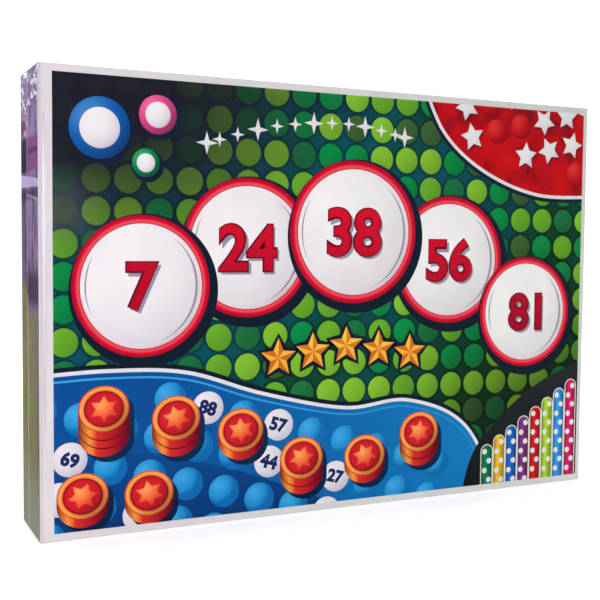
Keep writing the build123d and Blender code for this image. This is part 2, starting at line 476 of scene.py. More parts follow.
def sideFinish():
    # the short sides: purple above, a pale band, olive green below, with soft upright streaks
    finish = Finish("sidePrint")
    place = finish.point()
    y, z = axes(place)[1:]
    depth = (y + frontReach) / 52.0
    streak = noiseAt(stretch(place, (0.3, 0.26, 0.035)), 1.0, 5.0, 0.6)
    cloud = noiseAt(stretch(place, (0.1, 0.1, 0.05)), 1.0, 3.0)
    blend = streak * 0.7 + cloud * 0.3
    back = clamp((depth - 0.6) * 16.0)
    purple = ramp(blend, [(0.36, 64, 44, 88), (0.46, 100, 84, 120), (0.54, 140, 120, 146),
                          (0.62, 116, 98, 134)])
    purple = mix(back * 0.5, purple, ink(62, 56, 88))
    lilac = ramp(blend, [(0.38, 76, 52, 108), (0.47, 130, 107, 151), (0.6, 149, 127, 163)])
    purple = mix(clamp((z - sidePrint["lilac"]) / 4.0), purple, lilac)
    purple = mix(clamp((5.0 - abs(z - sidePrint["bar"])) * 0.5) * back, purple, ink(112, 48, 96))
    block = clamp((10.0 - abs(z - sidePrint["block"])) * 0.7)
    stripe = clamp(1.5 - abs(z - sidePrint["block"] - streak * 3.0) * 0.7)
    plum = mix(stripe * 0.8, mix(streak, ink(96, 50, 104), ink(140, 84, 134)), ink(66, 14, 70))
    purple = mix(block, purple, mix(back, plum, ink(30, 8, 58)))
    pool = clamp(1.6 - abs(z - sidePrint["pool"]) / 10.0)
    pool = pool * clamp((0.82 - depth) * 5.0)
    under = clamp(1.4 - abs(z - sidePrint["under"]) / 3.0)
    purple = mix(clamp(pool * 0.85 + under * 0.75), purple, ink(40, 28, 52))
    olive = ramp(blend, [(0.36, 84, 96, 50), (0.44, 114, 126, 64), (0.5, 126, 116, 78), (0.56, 98, 100, 82),
                         (0.64, 120, 134, 68)])
    olive = mix(clamp((0.36 - depth) * 3.0) * 0.7, olive, ink(96, 92, 88))
    olive = mix(clamp((sidePrint["fade"] - z) / 44.0), olive, ink(134, 136, 118))
    low = clamp((sidePrint["olive"] + depth * 10.0 + back * 12.0 - z + (streak - 0.5) * 28.0) / 7.0)
    field = mix(low, purple, olive)
    band = clamp((2.4 + depth * 1.8 - abs(z - sidePrint["band"] - depth * 2.8)) * 1.2)
    swoosh = clamp((0.9 - abs(z - sidePrint["swoosh"] - depth * 6.0)) * 1.2) * (depth < 0.62)
    field = mix(clamp(band + swoosh * 0.6), field, ink(178, 160, 202))
    edge = clamp((y + frontReach - 0.7) * 5.0)
    return litho(finish, mix(edge, paperWhite, field), 0.3, 0.0)


def edgeFinish():
    # the long sides: the dotted ground between two white edges
    finish = Finish("edgePrint")
    x, y = axes(finish.point())[:2]
    field = dottedGround(finish, x, y - 29.3, clamp((x + 60.0) / 400.0) * 0.6)
    edge = clamp((y + frontReach - 0.7) * 5.0)
    return litho(finish, mix(edge, paperWhite, field), 0.3, 0.0)


def backFinish():
    # the base's floor, seen from behind: the same dots, darker towards its edges
    finish = Finish("backPrint")
    x, z = axes(finish.point())[::2]
    up = z - midHeight
    away = root(x * x * 0.6 + up * up)
    return litho(finish, dottedGround(finish, x, up, clamp((away - 70.0) / 90.0) * 0.8 + 0.1), 0.3)


def plainPaper(name, colour, other, gloss=0.3):
    # paper of one colour with a fine mottle
    finish = Finish(name)
    mottle = noiseAt(finish.point(), 0.4, 5.0, 0.65)
    return litho(finish, ramp(mottle, [(0.3, *colour), (0.7, *other)]), gloss)


def greyboardFinish():
    # recycled board: grey-brown pulp with fibres and flecks
    finish = Finish("greyboard")
    place = finish.point()
    fibre = noiseAt(stretch(place, (0.5, 2.4, 2.4)), 1.0, 5.0, 0.7)
    pulp = noiseAt(place, 0.25, 4.0)
    fleck = finish.node("ShaderNodeTexVoronoi", None, {"Vector": place, "Scale": 0.8})
    colour = ramp(pulp * 0.5 + fibre * 0.5, [(0.34, 128, 118, 104), (0.52, 160, 151, 136),
                                             (0.68, 184, 176, 160)])
    colour = mix(clamp((0.12 - fleck) * 9.0) * 0.5, colour, ink(78, 72, 66))
    return finish.close(finish.coat(colour, 0.86, {"Normal": bump(fibre, 0.00008, 0.6)}))


def printInk(name, colour, other, low, high, axis="z"):
    # one printed colour that shades into another between two places along an axis
    finish = Finish(name)
    place = dict(zip("xyz", axes(finish.point())))
    share = clamp((place[axis] - low) / (high - low))
    return litho(finish, mix(share, ink(*colour), ink(*other)), printGloss)


# lid and base: paper wraps, boards and corner stays

wraps = {"lid": {"node": "lid_wrap", "side": "front", "sides": 0.1, "rim": 2.0, "fold": 0.55},
         "base": {"node": "base_wrap", "side": "back", "sides": 0.0, "rim": 2.1, "fold": 0.7},
         "face": 0.05, "corner": 0.6, "strip": 18.0, "paper": 0.12, "rimRound": 0.5}  # mm


def buildWrap(name, body, slot, part, finishes):
    # one sheet of paper round the board: over the face, down the sides, over the rim and turned in
    low, high, halfX, halfZ = nodeBox(part["node"])
    front = part["side"] == "front"
    surface = low.y + wraps["face"] if front else high.y - wraps["face"]
    depth = high.y - low.y - wraps["face"]
    halfX, halfZ = halfX - part["sides"], halfZ - part["sides"]
    fold, rimRound, rim = part["fold"], wraps["rimRound"], part["rim"]
    quarter = quarterTurns(6)

    def path(inset):
        # insets and depths along the paper's outside, or its inside for a positive inset
        f, r = fold - inset, rimRound - inset
        line = [(fold - f * math.sin(a), fold - f * math.cos(a)) for a in quarter]
        line += [(rimRound - r * math.cos(a), depth - rimRound + r * math.sin(a)) for a in quarter]
        line += [(rim - rimRound + r * math.sin(a), depth - rimRound + r * math.cos(a)) for a in quarter]
        return line + [(rim - inset, depth - wraps["strip"])]

    rings = []
    for inset, down in path(0.0) + path(wraps["paper"])[::-1]:
        corner = max(wraps["corner"] - inset, 0.12)
        rings.append([(u, v, -down) for u, v in roundedRing(halfX - inset, halfZ - inset, corner)])
    sheet = Body()
    sheet.loft(rings, matrix=facing(part["side"], surface))
    piece = sheet.make(name, finishes)
    for face in piece.data.polygons:  # which print each face carries
        x, y, z = face.center / mm
        outside = abs(x) > halfX - 1.0 or abs(z - midHeight) > halfZ - 1.0
        if abs(face.normal.y) > 0.9 and abs(y - surface) < 0.02:
            face.material_index = 0
        elif outside:
            upright = abs(x) > halfX - 1.0 and abs(face.normal.x) >= abs(face.normal.z)
            face.material_index = 1 if upright else 2
        else:
            face.material_index = 3
    dress(piece, body, slot, part["node"])


stays = {"leg": 22.0, "paper": 0.06, "corner": 0.465, "inset": 0.135}  # mm, from the lid wrap's outside


def buildStays(finish):
    # the paper angles that hold the lid board's corners
    low, high = nodeBox("lid_corner_stays")[:2]
    halfX, halfZ = (half - wraps["lid"]["sides"] - stays["inset"] for half in nodeBox("lid_wrap")[2:])
    body = Body()
    for sideX in (1, -1):
        for sideZ in (1, -1):
            outline = []
            for grow in (0.0, stays["paper"]):
                radius, x, z = stays["corner"] - grow, halfX - grow, halfZ - grow
                arc = [polar((x - radius, z - radius), radius, a) for a in quarterTurns(6)]
                line = [(x, z - stays["leg"])] + arc + [(x - stays["leg"], z)]
                outline += line if grow == 0.0 else line[::-1]
            body.prism([(u * sideX, v * sideZ) for u, v in outline], 0.0, high.y - low.y,
                       matrix=facing("front", high.y))
    dress(body.make("lidCornerStays", [finish]), "lid", "stay_paper", "lid_corner_stays")


print("paper and board")
innerPaper = plainPaper("turnedInPaper", (222, 216, 222), (232, 228, 232), 0.45)
buildWrap("lidWrap", "lid", "printed_wrap", wraps["lid"], [coverFinish(), sideFinish(), edgeFinish(),
                                                           innerPaper])
baseColour = plainPaper("basePaper", (58, 40, 84), (76, 54, 102), 0.4)
buildWrap("baseWrap", "box", "base_paper", wraps["base"], [backFinish(), baseColour, baseColour, innerPaper])
kraft = plainPaper("stayPaper", (196, 178, 148), (214, 198, 170), 0.7)
buildStays(kraft)
board = greyboardFinish()


def dressNode(name, finish):
    # a CAD node whose shape is right gets its material
    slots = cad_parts[name].data.materials
    if len(slots):
        for i in range(len(slots)):
            slots[i] = finish
    else:
        slots.append(finish)


dressNode("lid_board", board)
dressNode("base_board", board)
dressNode("base_corner_stays", kraft)

# the cover's generic print: numbered balls, stars, counters, stripes and waves

cover = {"surface": -26.35, "sunk": -0.06, "step": 0.011}  # mm; each printed layer stands a step higher
coverMatrix = facing("front", cover["surface"])


def printPiece(name, motifs, level, finish):
    # flat shapes cut off at the print's edge; a motif is an outline, alone or with its middle and size
    shape = Body()
    for motif in motifs:
        loop, middle, size = motif if isinstance(motif, tuple) else (motif, (0.0, 0.0), 1.0)
        loop = clipLoop(loop, printArea["low"], printArea["high"])
        if len(loop) > 2:
            shape.prism(loop, cover["sunk"], cover["step"] * level, matrix=coverMatrix, motif=(*middle, size))
    dress(shape.make(name, [finish]), "lid", "printed_wrap")


def printNumbers(name, numbers, level, finish, shift=(0.0, 0.0), grow=0.0, detail=4, weight=0.03):
    # a number is its text, middle, height and turn
    shape = Body()
    for text, (u, v), tall, turn in numbers:
        stamp(shape, text, (u + shift[0], v + shift[1]), tall + grow, cover["sunk"], cover["step"] * level,
              turn=turn, matrix=coverMatrix, detail=detail, weight=weight)
    dress(shape.make(name, [finish]), "lid", "printed_wrap")


def rounds(places, radius, count=48):
    return [(circle(u, v, radius, count), (u, v), radius) for u, v in places]


def star(points, waist, turn=0.0):
    # a star of size 1 about its own middle
    return [polar((0.0, 0.0), 1.0 if i % 2 == 0 else waist, math.pi / 2 + turn + math.pi * i / points)
            for i in range(2 * points)]


def placed(loop, middle, size, squash=1.0, turn=0.0):
    # a shape of size 1 made larger, pressed flat and turned
    cos, sin = math.cos(turn), math.sin(turn)
    return [(middle[0] + size * (a * cos - b * squash * sin), middle[1] + size * (a * sin + b * squash * cos))
            for a, b in loop]


def crescent(middle, radius, width, start, end, count=24):
    # a shade line along a circle, thin at both ends
    angles = [math.radians(start + (end - start) * i / count) for i in range(count + 1)]
    inner = [polar(middle, radius - width * math.sin(math.pi * i / count), a)
             for i, a in enumerate(angles[1:-1], 1)]
    return [polar(middle, radius, a) for a in angles] + inner[::-1]


def heightAt(line, u):
    # the height of a line that runs across the cover
    for (u0, v0), (u1, v1) in zip(line, line[1:]):
        if u0 <= u <= u1:
            return v0 + (v1 - v0) * (u - u0) / (u1 - u0)
    return line[0][1] if u < line[0][0] else line[-1][1]


def fieldOf(line, side, margin, start, across, along, counts, end=200):
    # places of a slanting grid that lie at one side of a line, clear of it and short of the end
    places = []
    for i in range(counts[0]):
        for j in range(counts[1]):
            u, v = start[0] + across[0] * i + along[0] * j, start[1] + across[1] * i + along[1] * j
            clear = min(math.hypot(u - a, v - b) for a, b in line) > margin
            inside = printArea["low"][0] - 8 < u < end
            if clear and inside and side * (v - heightAt(line, u)) > 0 and abs(v) < 134:
                places.append((u, v, (i * 7 + j * 4) % 9))
    return places


def motifOf(finish):
    # the place on a motif, from -1 to 1
    return finish.node("ShaderNodeAttribute", {"attribute_name": "motif"}, output="Vector")


def shadedInk(name, stops, lean=(-0.4, 0.4), reach=1.6, squash=1.0, light=0.0):
    # a printed colour that changes away from its motif's lit place, and is darker at the lower right
    finish = Finish(name)
    a, b = axes(motifOf(finish))[:2]
    across, up = a - lean[0], (b - lean[1]) / squash
    colour = ramp(root(across * across + up * up) / reach, stops)
    return litho(finish, tint(colour, clamp((a - b) * light), ink(120, 96, 120)), printGloss)


def tubeInk(name, stops):
    # a printed colour that changes across its motif, as light does on a tube
    finish = Finish(name)
    a = axes(motifOf(finish))[0]
    return litho(finish, ramp(a * 0.5 + 0.5, stops), printGloss)


paleLine = plainPaper("paleLineInk", (222, 215, 221), (232, 227, 232))
navy = printInk("navyInk", (6, 22, 34), (12, 28, 50), 60, 220)
goldDark = printInk("goldDarkInk", (206, 104, 30), (232, 160, 30), 98, 122)
goldLight = printInk("goldLightInk", (250, 178, 60), (252, 232, 96), 98, 122)

banner = {"edge": 2.2, "shadow": 2.6}  # mm, the pale edge, and how far the shadow shows past it


def printBanner(name, fill, line, ends, side, finish):
    # a coloured field along a line, with a pale edge and a shadow on its outer side
    for part, reach, level, colour in (("Shadow", banner["edge"] + banner["shadow"], 1, navy),
                                       ("Edge", banner["edge"], 2, paleLine), (fill, 0.0, 3, finish)):
        printPiece(name + part, [widen(line, side * reach) + ends], level, colour)


# blue waves along the foot of the cover, with round spaces in a slanting grid
waves = {"crest": [(-196, -40), (-150, -38), (-104, -41), (-56, -56), (0, -68), (46, -66), (90, -86),
                   (120, -140)],
         "under": [(-196, -96), (-140, -84), (-84, -96), (-26, -118), (20, -140)],
         "spot": 9.6, "start": (-214, 22), "across": (22.6, -6.6), "along": (-6.2, -21.8)}
crest, under = smoothLine(waves["crest"]), smoothLine(waves["under"])
printBanner("wave", "Blue", crest, [(122, -150), (-196, -150)], 1,
            printInk("waveBlueInk", (0, 76, 146), (8, 122, 190), -120, 116, "x"))
printPiece("waveGleam", [widen(crest, -2.4) + widen(crest, -3.6)[::-1]], 4,
           printInk("waveGleamInk", (60, 160, 218), (30, 134, 200), -160, 90, "x"))
printPiece("waveUnder", [under + [(20, -150), (-196, -150)]], 4,
           printInk("waveUnderInk", (0, 52, 112), (0, 72, 140), 0, 50))
spots = fieldOf(crest, -1, waves["spot"] + 4.5, waves["start"], waves["across"], waves["along"], (20, 8), 80)
numbered = [(u, v) for u, v, k in spots if k in (1, 5)]
whole = [(u, v) for u, v in numbered if u > -172 and v > -118]
printPiece("waveSpots", rounds([(u, v) for u, v, k in spots if k not in (1, 5)], waves["spot"]), 5,
           shadedInk("waveSpotInk", [(0.0, 62, 168, 224), (0.5, 28, 138, 202), (0.66, 8, 104, 172)]))
printPiece("waveWhiteSpots", rounds(numbered, waves["spot"]), 5,
           shadedInk("waveWhiteInk", [(0.0, 236, 231, 236), (0.6, 222, 214, 221), (0.9, 196, 190, 208)]))
slant = math.atan2(waves["across"][1], waves["across"][0])
dealt = random.Random(9).sample(range(10, 90), len(whole))
printNumbers("waveNumbers", [(str(n), place, 8.6, slant) for n, place in zip(dealt, whole)], 6,
             plainPaper("waveNumberInk", (18, 30, 84), (26, 40, 100)), detail=3, weight=0.05)

# a red pennant with round spaces and stars, hung from the upper right
pennant = {"hang": [(52, 144), (70, 108), (102, 84), (146, 70), (196, 70)], "spot": 8.2,
           "star": 9.2, "start": (62, 58), "across": (19.4, 4.4), "along": (-4.6, 19.2)}
hang = smoothLine(pennant["hang"])
pennantFinish = Finish("pennantInk")
patches = noiseAt(pennantFinish.point(), 0.06, 4.0, 0.6)
litho(pennantFinish, ramp(patches, [(0.36, 132, 0, 18), (0.5, 186, 0, 16), (0.66, 208, 4, 10)]), printGloss)
printBanner("pennant", "Red", hang, [(196, 150), (52, 150)], -1, pennantFinish.material)
spots = fieldOf(hang, 1, pennant["spot"] + 3.5, pennant["start"], pennant["across"], pennant["along"], (8, 6))
starred = [((u, v), k) for u, v, k in spots if k not in (0, 2, 6)]
printPiece("pennantSpots", rounds([(u, v) for u, v, k in spots if k in (0, 2, 6)], pennant["spot"]), 4,
           shadedInk("pennantSpotInk", [(0.0, 226, 50, 46), (0.6, 194, 6, 22), (0.9, 146, 0, 18)]))
printPiece("pennantStarShades",
           [(placed(star(5, 0.5, k), (p[0] + 0.9, p[1] - 1.3), pennant["star"]), p, 1.0) for p, k in starred],
           4, plainPaper("pennantShadeInk", (110, 0, 22), (128, 0, 26)))
printPiece("pennantStars",
           [(placed(star(5, 0.5, k), p, pennant["star"]), p, pennant["star"]) for p, k in starred], 5,
           shadedInk("pennantStarInk", [(0.0, 240, 235, 239), (0.6, 228, 220, 226), (0.9, 206, 196, 208)]))

# rising stripes in the eight colours of the cards, on black, at the lower right
stripes = {"first": 103.4, "pitch": 10.0, "width": 8.6, "low": 22.0, "rise": 5.8, "line": 0.7, "spot": 1.9}
cardColours = {
    "card_blue": (22, 92, 184), "card_red": (200, 16, 30), "card_green": (0, 116, 74),
    "card_yellow": (224, 172, 22), "card_purple": (122, 44, 120), "card_lime": (160, 196, 38),
    "card_sky": (40, 140, 214), "card_magenta": (204, 20, 96),
}
order = ["card_green", "card_yellow", "card_blue", "card_purple", "card_red", "card_lime", "card_sky",
         "card_magenta"]
backdrop = smoothLine([(84, -150), (94, -108), (114, -84), (148, -60), (196, -42)])
printPiece("stripesBackdrop", [backdrop + [(196, -150)]], 5,
           printInk("backdropInk", (12, 14, 16), (30, 34, 38), 0, 80))
half = stripes["width"] / 2
lines, dotted = [], []
for i, colour in enumerate(order):
    middle = stripes["first"] + stripes["pitch"] * i + half
    tip = printArea["low"][1] + stripes["low"] + stripes["rise"] * i

    def column(grow):
        arch = [polar((middle, tip), half + grow, math.radians(a)) for a in range(0, 181, 12)]
        return [(middle + half + grow, -150)] + arch + [(middle - half - grow, -150)]

    lines.append(column(stripes["line"]))
    r, g, b = cardColours[colour]
    dark = ink(r * 0.62, g * 0.62, b * 0.62)
    bright = ink(min(r * 1.12, 255), min(g * 1.12, 255), min(b * 1.12, 255))
    title = colour[5:].capitalize()
    printPiece("stripe" + title, [(column(0.0), (middle, tip), half)], 7,
               tubeInk("stripeInk" + title, [(0.0, dark), (0.36, bright), (1.0, dark)]))
    dotted += [(middle + (1.8 if (k + i) % 2 else -1.8), tip - 6.4 * k)
               for k in range(int((tip + 125) // 6.4) + 1)]
printPiece("stripeOutlines", lines, 6, plainPaper("stripeOutlineInk", (216, 212, 198), (228, 224, 212)))
printPiece("stripeDots", rounds(dotted, stripes["spot"], 20), 8, paleLine)

# five white balls with plain numbers, in an arch across the middle, and three small ones above them
balls = {
    "large": [(-130, 10, 40, "7", 5), (-66, 32, 41, "24", 1), (5, 42, 44, "38", 5), (75, 25, 41, "56", 1),
              (137, -10, 37, "81", 5)],
    "small": [(-154, 97, 17, (16, 96, 176)), (-121, 106, 11, (222, 70, 132)), (-128, 79, 8, (0, 132, 78))],
    "ring": 0.12, "shadow": 3.4, "figure": 0.76,
}  # across, up and radius in mm, then a large ball's number and level, or a small one's colour
ringStops = [(0.5, 150, 0, 34), (0.565, 204, 0, 46), (0.59, 240, 84, 96), (0.61, 218, 0, 44),
             (0.66, 146, 0, 36)]
whiteStops = [(0.0, 248, 241, 243), (0.45, 240, 233, 235), (0.74, 222, 214, 219), (0.98, 184, 173, 187)]
ringInk = shadedInk("ballRingInk", ringStops, (0.0, 0.0), 1.55)
whiteInk = shadedInk("ballWhiteInk", whiteStops, (-0.35, 0.4), 1.7)
shadeInk = plainPaper("ballShadeInk", (146, 132, 152), (162, 148, 166))
edgeInk = plainPaper("numberEdgeInk", (96, 0, 28), (116, 0, 34))
numberInk = printInk("ballNumberInk", (164, 0, 36), (222, 8, 42), 110, 196)
for (u, v, radius, text, level) in balls["large"]:  # the second and fourth lie behind the others
    inner = radius * (1 - balls["ring"])
    number = [(text, (u, v), inner * balls["figure"], 0.0)]
    printPiece("ballGround" + text, rounds([(u + 1.8, v - 2.6)], radius + balls["shadow"], 80), level, navy)
    printPiece("ballRing" + text, rounds([(u, v)], radius, 80), level + 1, ringInk)
    printPiece("ballWhite" + text, [(circle(u, v, inner, 80), (u, v), radius)], level + 2, whiteInk)
    lines = [crescent((u, v), inner - 2.4, *line) for line in ((1.5, -72, 58), (0.9, 146, 208))]
    printPiece("ballShades" + text, lines, level + 3, shadeInk)
    printNumbers("ballNumberShadow" + text, number, level + 3, shadeInk, (1.5, -1.7), 0.6, 6, 0.05)
    printNumbers("ballNumberEdge" + text, number, level + 4, edgeInk, grow=1.6, detail=6, weight=0.05)
    printNumbers("ballNumber" + text, number, level + 5, numberInk, detail=6, weight=0.02)
small = [((u, v), radius) for u, v, radius, colour in balls["small"]]
printPiece("smallBallGrounds",
           [m for place, r in small for m in rounds([(place[0] + 1.0, place[1] - 1.4)], r + 1.4)], 1, navy)
for i, (u, v, radius, (r, g, b)) in enumerate(balls["small"]):
    printPiece(f"smallBall{i + 1}", rounds([(u, v)], radius), 2,
               shadedInk(f"smallBallInk{i + 1}", [(0.0, ink(min(r + 60, 255), g + 50, b + 30)),
                                                  (0.5, ink(r, g, b)),
                                                  (1.0, ink(r * 0.5, g * 0.5, b * 0.6))], (-0.35, 0.4)))
printPiece("smallBallWhites", [m for place, r in small for m in rounds([place], r * 0.66)], 3,
           shadedInk("smallBallWhiteInk", whiteStops, (-0.35, 0.4), 1.7))

# sparkles along the top, and a row of faceted gold stars under the arch
sparkles = smoothLine([(-92, 92), (-48, 104), (0, 108), (40, 102)], 4)
twinkles = [(placed(star(4, 0.3), p, 4.4 if i % 3 else 6.6), p, 5.0) for i, p in enumerate(sparkles)]
printPiece("sparkles", twinkles, 2, paleLine)
goldStars = {"places": [(-46 + 23 * i, -28 - 3.0 * abs(i - 2)) for i in range(5)], "radius": 12.0,
             "border": 1.26}
outline = star(5, 0.46)
light = [[outline[i], outline[(i + 1) % 10], (0, 0)] for i in range(0, 10, 2)]
dark = [[outline[i - 1], outline[i], (0, 0)] for i in range(0, 10, 2)]
size, places = goldStars["radius"], goldStars["places"]
printPiece("starGrounds", [(placed(star(5, 0.56), p, size * goldStars["border"]), p, size) for p in places],
           6, navy)
printPiece("goldStars", [(placed(loop, p, size), p, size) for p in places for loop in light], 7, goldLight)
printPiece("goldStarShades", [(placed(loop, p, size), p, size) for p in places for loop in dark], 7, goldDark)

# red counters with a star in relief, some stacked, over the waves
counters = {"radius": 14.5, "thick": 4.6, "squash": 0.9, "seam": 0.35,
            "stacks": [(-152, -58, 3), (-110, -66, 2), (-164, -106, 1), (-126, -108, 1), (-70, -76, 1),
                       (-30, -96, 2), (14, -98, 1), (54, -86, 2)]}
drops, sides, seams, tops, reliefs = [], [], [], [], []
size, squash = counters["radius"], counters["squash"]
for i, (u, v, count) in enumerate(counters["stacks"]):
    rim = placed(circle(0, 0, 1.0, 60), (u, v), size, squash)
    lowered = [[(a, b - counters["thick"] * k + shift) for a, b in rim[30:] + rim[:1]]
               for k in range(1, count + 1) for shift in (counters["seam"], -counters["seam"])]
    drum = rim[:31] + [(a, b - counters["thick"] * count) for a, b in rim[30:] + rim[:1]]
    drops.append(([(a + 2.8, b - 3.2) for a, b in drum], (u, v), size))
    sides.append((drum, (u, v), size))
    seams += [(lowered[2 * k] + lowered[2 * k + 1][::-1], (u, v), size) for k in range(count - 1)]
    tops.append((rim, (u, v), size))
    relief = placed(star(6, 0.55, 0.35 * math.sin(i * 2.3)), (u, v), size * 0.58, squash)
    reliefs.append((relief, (u, v), size))
printPiece("counterShadows", drops, 7, printInk("counterShadowInk", (2, 28, 58), (8, 44, 84), 0, 90))
printPiece("counterSides", sides, 8, tubeInk("counterSideInk", [
    (0.0, 120, 0, 24), (0.22, 246, 148, 60), (0.36, 214, 44, 36), (0.8, 150, 0, 30), (1.0, 86, 0, 22)]))
printPiece("counterSeams", seams, 9, plainPaper("counterSeamInk", (96, 0, 18), (116, 4, 22)))
printPiece("counterTops", tops, 9, shadedInk("counterTopInk", [
    (0.0, 226, 40, 44), (0.68, 206, 22, 40), (0.76, 120, 0, 20), (0.8, 248, 128, 56),
    (0.9, 255, 176, 84), (0.97, 236, 84, 46), (1.0, 190, 20, 36)], (0.0, 0.0), 1.0, squash, 0.5))
printPiece("counterStars", reliefs, 10, shadedInk("counterStarInk", [
    (0.0, 255, 168, 92), (0.3, 250, 124, 66), (0.6, 228, 66, 44)], (-0.15, 0.2), 1.0))
print("cover print")

# repeated shapes, laid out by Geometry Nodes

class Layout(Graph):
    # a Geometry Nodes tree under construction, with named inputs
    def __init__(self, name, kinds):
        super().__init__(bpy.data.node_groups.new(name, "GeometryNodeTree"))
        make = self.tree.interface.new_socket
        kinds = {"Geometry": "Geometry", **kinds, "Finish": "Material"}
        self.keys = {key: make(key, in_out="INPUT", socket_type="NodeSocket" + kind).identifier
                     for key, kind in kinds.items()}
        make("Geometry", in_out="OUTPUT", socket_type="NodeSocketGeometry")
        outputs = self.tree.nodes.new("NodeGroupInput").outputs
        self.given = {key: Wire(self, outputs[key]) for key in kinds}

    def close(self, points, inputs):
        # copies on points, made real, with their material
        copies = self.node("GeometryNodeInstanceOnPoints", None, {"Points": points, **inputs})
        real = self.node("GeometryNodeRealizeInstances", None, {0: copies})
        painted = self.node("GeometryNodeSetMaterial", None,
                            {"Geometry": real, "Material": self.given["Finish"]})
        self.node("NodeGroupOutput", None, {0: painted})

    def plainMesh(self, source, settings):
        # what the tree makes of a piece, as a plain mesh; the piece and its modifier go
        modifier = source.modifiers.new("layout", "NODES")
        modifier.node_group = self.tree
        for key, value in settings.items():
            modifier[self.keys[key]] = value
        bpy.context.view_layer.update()
        mesh = evaluated(source)
        source.modifiers.remove(modifier)
        bpy.data.objects.remove(source)
        return mesh


def gridLayout():
    # copies of a piece's own mesh on a grid that faces the front, each turned by chance
    layout = Layout("gridOfCopies", {"Columns": "Int", "Lines": "Int", "Column Pitch": "Float",
                                     "Line Pitch": "Float", "Centre": "Vector", "Turn": "Float",
                                     "Seed": "Int"})
    given = layout.given
    grid = layout.node("GeometryNodeMeshGrid", None, {
        "Size X": (given["Columns"] - 1.0) * given["Column Pitch"],
        "Size Y": (given["Lines"] - 1.0) * given["Line Pitch"],
        "Vertices X": given["Columns"], "Vertices Y": given["Lines"]})
    stand = layout.node("GeometryNodeTransform", None, {
        "Geometry": grid, "Translation": given["Centre"], "Rotation": (math.radians(90), 0, 0)})
    # the float kind of a random value has its limits at inputs 2 and 3, and its result at output 1
    chance = layout.node("FunctionNodeRandomValue", {"data_type": "FLOAT"},
                         {2: given["Turn"] * -1.0, 3: given["Turn"], "Seed": given["Seed"]}, 1)
    layout.close(stand, {"Instance": given["Geometry"], "Rotation": layout.vector(0.0, chance, 0.0)})
    return layout


discGrid = gridLayout()

# number discs, ten in each of nine channels

discs = {"reeds": 36, "reedDepth": 0.2, "figure": 6.6, "relief": 0.4, "figureTurn": 0.5,
         "profile": [(0.0, 2.6), (7.8, 2.6), (8.2, 2.2), (8.4, 0.2), (8.6, 0.0), (9.6, 0.0), (10.0, 0.4),
                     (10.0, 4.55), (9.85, 4.85), (9.5, 5.0), (8.9, 5.0), (8.55, 4.8), (8.35, 4.3),
                     (8.1, 4.2), (7.7, 4.2), (7.5, 4.38), (7.1, 4.38), (6.9, 4.2), (0.0, 4.2)],
         "diameter": 20.0, "count": 10, "turn": 0.4}  # mm and radians


def discMaterial():
    # moulded red plastic with a faint swirl of orange, and a painted orange highlight on its raised edges
    finish = Finish("redPlastic")
    place = finish.point()
    swirl = noiseAt(stretch(place, (0.16, 0.3, 0.16)), 1.0, 4.0, 0.6)
    grain = noiseAt(place, 6.0, 3.0)
    edgePointiness = finish.node("ShaderNodeNewGeometry", output="Pointiness")
    # painted highlight: orange where the edges stand out, found by their pointiness
    edge = clamp((edgePointiness - 0.52) * 6.0)
    colour = ramp(swirl, [(0.3, 176, 6, 22), (0.55, 206, 16, 28), (0.72, 224, 48, 30)])
    colour = mix(edge * 0.55, colour, ink(246, 128, 60))
    return finish.close(finish.coat(colour, 0.26 + grain * 0.1,
                                    {"Coat Weight": 0.25, "Normal": bump(grain, 0.00002, 0.5)}))


redPlastic = discMaterial()


def discBody():
    around = 2 * discs["reeds"]
    lines = discs["profile"]
    rings = []
    for radius, rise in lines[1:-1]:
        ring = []
        for i in range(around):
            r = radius - (discs["reedDepth"] if i % 2 and radius > 9.9 else 0.0)
            angle = math.tau * i / around
            ring.append((r * math.cos(angle), r * math.sin(angle), rise))
        rings.append(ring)
    body = Body()
    body.loft(rings, matrix=Matrix(((1, 0, 0, 0), (0, 0, -1, 0), (0, 1, 0, 0), (0, 0, 0, 1))))
    return body.make("discSource", [])


random.seed(11)
for row in range(9):
    first = 10 * row + 1
    node = f"discs_{first:02d}_to_{first + 9:02d}"
    low, high = nodeBox(node)[:2]
    middleX, middleZ = (low.x + high.x) / 2, (low.z + high.z) / 2
    pitch = (high.x - low.x - discs["diameter"]) / (discs["count"] - 1)
    mesh = discGrid.plainMesh(discBody(), {
        "Columns": discs["count"], "Lines": 1, "Column Pitch": pitch * mm, "Line Pitch": 0.0,
        "Centre": (middleX * mm, high.y * mm, middleZ * mm), "Turn": discs["turn"],
        "Seed": row, "Finish": redPlastic})
    body = Body()
    body.take(mesh)
    for i in range(discs["count"]):
        stamp(body, str(first + i), ((i - 4.5) * pitch, 0), discs["figure"], 4.0, 4.2 + discs["relief"],
              turn=random.uniform(-discs["figureTurn"], discs["figureTurn"]), detail=4, weight=0.0,
              matrix=onNode(low, high))
    piece = body.make(f"numberDiscs{first:02d}to{first + 9:02d}", [redPlastic])
    dress(piece, "box", "red_plastic", node)
print("number discs")

# playing cards

cards = {"corner": 4.0, "edge": 0.15, "linePitch": 26.0, "columnPitch": 22.9, "spot": 9.4, "figure": 7.0,
         "print": (38.6, 103.6)}  # mm; the print's half width and height, inside a white edge
cardOrder = list(cardColours)


